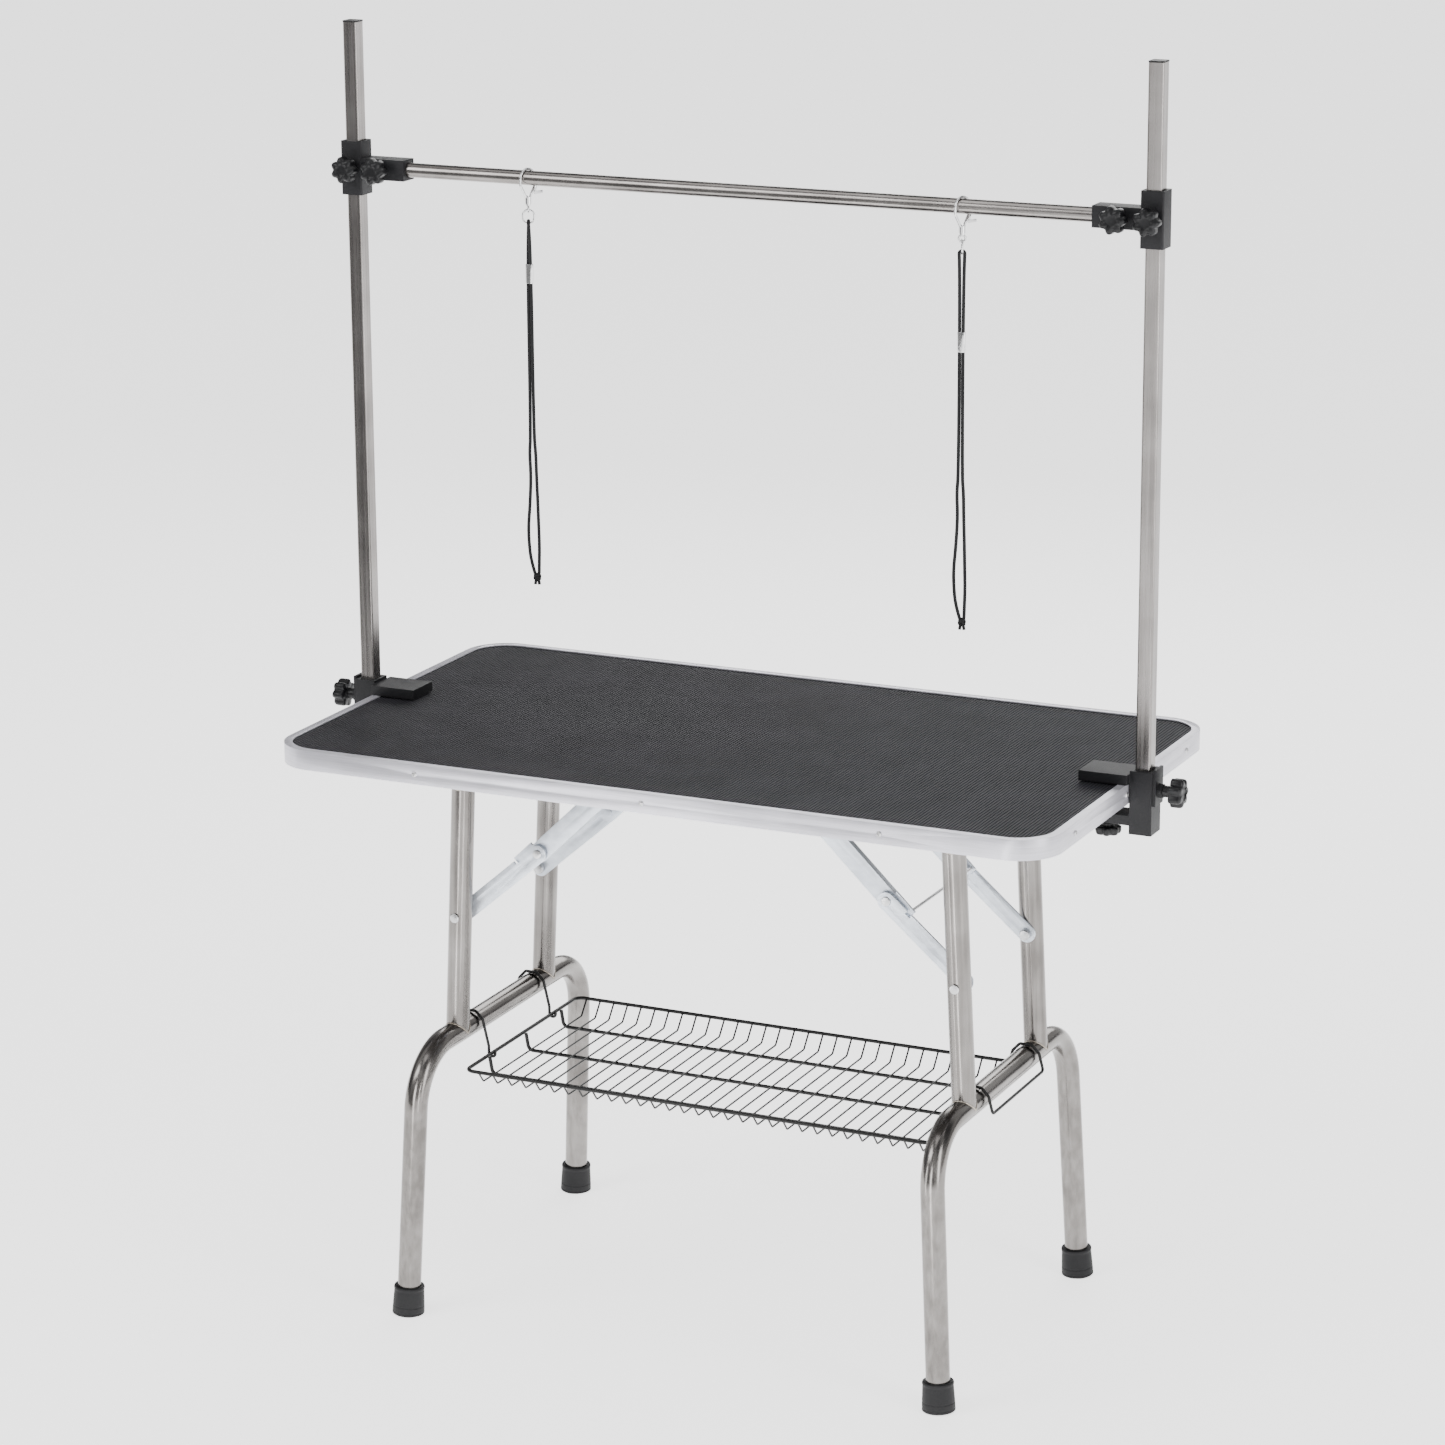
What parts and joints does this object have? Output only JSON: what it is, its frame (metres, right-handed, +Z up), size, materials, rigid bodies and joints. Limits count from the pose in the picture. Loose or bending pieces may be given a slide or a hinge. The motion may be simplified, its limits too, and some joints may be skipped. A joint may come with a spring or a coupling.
{
  "type": "folding grooming table",
  "caption": "Folding pet grooming table with rubber top, folding tube legs, wire tray and an adjustable overhead bar with snap-hook nooses.",
  "frame": {"origin": "on the floor under the middle of the table top", "axes": "+X along the table's length, +Y across it away from the front, +Z up"},
  "size_m": [1.2066, 0.6036, 1.672],
  "materials": {
    "board_core": "particle board",
    "mat_rubber": "fine ribs, satin",
    "trim_aluminium": "satin anodised",
    "screw_steel": "plated",
    "zinc_steel": "bright blue-white zinc plate",
    "leg_steel": "polished stainless tube",
    "post_steel": "polished stainless tube",
    "black_metal": "satin black powder coat",
    "black_plastic": "moulded",
    "knob_plastic": "moulded, satin",
    "foot_rubber": "moulded, matte",
    "wire_coat": "gloss black coating",
    "hook_chrome": "bright plated",
    "cord_nylon": "braided nylon"
  },
  "bodies": {
    "table": {"tabletop_board": "board_core", "rubber_mat": "mat_rubber", "edge_trim": "trim_aluminium", "table_screws": "screw_steel", "hinge_brackets": "zinc_steel", "brace_brackets": "zinc_steel", "post_caps": "black_plastic", "left_clamp": "black_metal", "left_post": "post_steel", "right_clamp": "black_metal", "right_post": "post_steel"},
    "left_leg": {"left_upper_tubes": "leg_steel", "left_pivot_tube": "leg_steel", "left_lower_bow": "leg_steel", "left_foot_caps": "foot_rubber", "left_brace_bolts": "screw_steel"},
    "left_lower_brace": {"left_lower_links": "zinc_steel", "left_joint_rivets": "zinc_steel"},
    "left_upper_brace": {"left_upper_links": "zinc_steel", "left_tie_rod": "zinc_steel"},
    "right_leg": {"right_upper_tubes": "leg_steel", "right_pivot_tube": "leg_steel", "right_lower_bow": "leg_steel", "right_foot_caps": "foot_rubber", "right_brace_bolts": "screw_steel"},
    "right_lower_brace": {"right_lower_links": "zinc_steel", "right_joint_rivets": "zinc_steel"},
    "right_upper_brace": {"right_upper_links": "zinc_steel", "right_tie_rod": "zinc_steel"},
    "bar": {"crossbar": "post_steel", "left_bar_bracket": "black_metal", "right_bar_bracket": "black_metal"},
    "left_post_knob": {"left_post_knob": "knob_plastic"},
    "left_bar_knob": {"left_bar_knob": "knob_plastic"},
    "left_collar_knob": {"left_collar_knob": "knob_plastic"},
    "left_clamp_screw": {"left_clamp_screw": "knob_plastic", "left_clamp_pad": "foot_rubber"},
    "left_hook": {"left_snap_hook": "hook_chrome"},
    "left_trigger": {"left_snap_trigger": "hook_chrome"},
    "left_swivel": {"left_swivel": "hook_chrome"},
    "left_loop": {"left_ring": "hook_chrome", "left_cord": "cord_nylon", "left_knot": "cord_nylon"},
    "left_slider": {"left_slider": "hook_chrome"},
    "right_post_knob": {"right_post_knob": "knob_plastic"},
    "right_bar_knob": {"right_bar_knob": "knob_plastic"},
    "right_collar_knob": {"right_collar_knob": "knob_plastic"},
    "right_clamp_screw": {"right_clamp_screw": "knob_plastic", "right_clamp_pad": "foot_rubber"},
    "right_hook": {"right_snap_hook": "hook_chrome"},
    "right_trigger": {"right_snap_trigger": "hook_chrome"},
    "right_swivel": {"right_swivel": "hook_chrome"},
    "right_loop": {"right_ring": "hook_chrome", "right_cord": "cord_nylon", "right_knot": "cord_nylon"},
    "right_slider": {"right_slider": "hook_chrome"},
    "basket": {"basket_rim": "wire_coat", "basket_long_wires": "wire_coat", "basket_cross_wires": "wire_coat", "basket_hangers": "wire_coat"}
  },
  "joints": [
    {"name": "left_leg_fold", "type": "hinge", "parent": "table", "child": "left_leg", "pos_m": [-0.3453, 0, 0.71], "axis": [0, -1, 0], "range_deg": [0, 86]},
    {"name": "left_lower_brace_turn", "type": "hinge", "parent": "left_leg", "child": "left_lower_brace", "pos_m": [-0.35467, 0, 0.52103], "axis": [0, -1, 0], "range_deg": [0, 41.56]},
    {"name": "left_upper_brace_turn", "type": "hinge", "parent": "table", "child": "left_upper_brace", "pos_m": [-0.12162, 0, 0.73457], "axis": [0, 1, 0], "range_deg": [0, 38.07]},
    {"name": "right_leg_fold", "type": "hinge", "parent": "table", "child": "right_leg", "pos_m": [0.3453, 0, 0.71], "axis": [0, 1, 0], "range_deg": [0, 92]},
    {"name": "right_lower_brace_turn", "type": "hinge", "parent": "right_leg", "child": "right_lower_brace", "pos_m": [0.35467, 0, 0.52103], "axis": [0, 1, 0], "range_deg": [0, 40.46]},
    {"name": "right_upper_brace_turn", "type": "hinge", "parent": "table", "child": "right_upper_brace", "pos_m": [0.12162, 0, 0.73457], "axis": [0, -1, 0], "range_deg": [0, 40.65]},
    {"name": "crossbar_height", "type": "slide", "parent": "table", "child": "bar", "axis": [0, 0, 1], "range_m": [-0.15, 0.14]},
    {"name": "left_post_knob_turn", "type": "hinge", "parent": "table", "child": "left_post_knob", "pos_m": [-0.57, 0, 0.768], "axis": [-1, 0, 0], "continuous": true},
    {"name": "left_collar_knob_turn", "type": "hinge", "parent": "bar", "child": "left_collar_knob", "pos_m": [-0.551, -0.02, 1.482], "axis": [0, -1, 0], "continuous": true},
    {"name": "left_bar_knob_turn", "type": "hinge", "parent": "bar", "child": "left_bar_knob", "pos_m": [-0.508, -0.02, 1.482], "axis": [0, -1, 0], "continuous": true},
    {"name": "left_clamp_screw_down", "type": "slide", "parent": "table", "child": "left_clamp_screw", "axis": [0, 0, -1], "range_m": [0, 0.011]},
    {"name": "left_hook_slide", "type": "slide", "parent": "bar", "child": "left_hook", "axis": [1, 0, 0], "range_m": [-0.15, 0.26]},
    {"name": "left_trigger_press", "type": "hinge", "parent": "left_hook", "child": "left_trigger", "pos_m": [-0.29706, 0.00808, 1.4643], "axis": [0.9397, -0.342, 0], "range_deg": [0, 20], "stiffness_Nm_per_rad": 0.01, "springref_deg": -17.19},
    {"name": "left_swivel_turn", "type": "hinge", "parent": "left_hook", "child": "left_swivel", "pos_m": [-0.3, 0, 1.4566], "axis": [0, 0, 1], "continuous": true},
    {"name": "left_noose_swing", "type": "hinge", "parent": "left_swivel", "child": "left_loop", "pos_m": [-0.3, 0, 1.4407], "axis": [0.9063, 0.4226, 0], "range_deg": [-60, 60]},
    {"name": "left_slider_move", "type": "slide", "parent": "left_loop", "child": "left_slider", "axis": [0, 0, 1], "range_m": [-0.16, 0.02]},
    {"name": "right_post_knob_turn", "type": "hinge", "parent": "table", "child": "right_post_knob", "pos_m": [0.57, 0, 0.768], "axis": [1, 0, 0], "continuous": true},
    {"name": "right_collar_knob_turn", "type": "hinge", "parent": "bar", "child": "right_collar_knob", "pos_m": [0.551, -0.02, 1.482], "axis": [0, -1, 0], "continuous": true},
    {"name": "right_bar_knob_turn", "type": "hinge", "parent": "bar", "child": "right_bar_knob", "pos_m": [0.508, -0.02, 1.482], "axis": [0, -1, 0], "continuous": true},
    {"name": "right_clamp_screw_down", "type": "slide", "parent": "table", "child": "right_clamp_screw", "axis": [0, 0, -1], "range_m": [0, 0.011]},
    {"name": "right_hook_slide", "type": "slide", "parent": "bar", "child": "right_hook", "axis": [1, 0, 0], "range_m": [-0.26, 0.15]},
    {"name": "right_trigger_press", "type": "hinge", "parent": "right_hook", "child": "right_trigger", "pos_m": [0.30294, 0.00808, 1.4643], "axis": [0.9397, -0.342, 0], "range_deg": [0, 20], "stiffness_Nm_per_rad": 0.01, "springref_deg": -17.19},
    {"name": "right_swivel_turn", "type": "hinge", "parent": "right_hook", "child": "right_swivel", "pos_m": [0.3, 0, 1.4566], "axis": [0, 0, 1], "continuous": true},
    {"name": "right_noose_swing", "type": "hinge", "parent": "right_swivel", "child": "right_loop", "pos_m": [0.3, 0, 1.4407], "axis": [-0.4226, 0.9063, 0], "range_deg": [-30, 28]},
    {"name": "right_slider_move", "type": "slide", "parent": "right_loop", "child": "right_slider", "axis": [0, 0, 1], "range_m": [-0.12, 0.07]},
    {"name": "basket_lift", "type": "slide", "parent": "table", "child": "basket", "axis": [0, 0, 1], "range_m": [0, 0.06]}
  ],
  "couplings": [
    {"joint": "left_lower_brace_turn", "follows": "left_leg_fold", "ratio": 0.48302},
    {"joint": "left_upper_brace_turn", "follows": "left_leg_fold", "ratio": 0.44244},
    {"joint": "right_lower_brace_turn", "follows": "right_leg_fold", "ratio": 0.43957},
    {"joint": "right_upper_brace_turn", "follows": "right_leg_fold", "ratio": 0.44163}
  ]
}
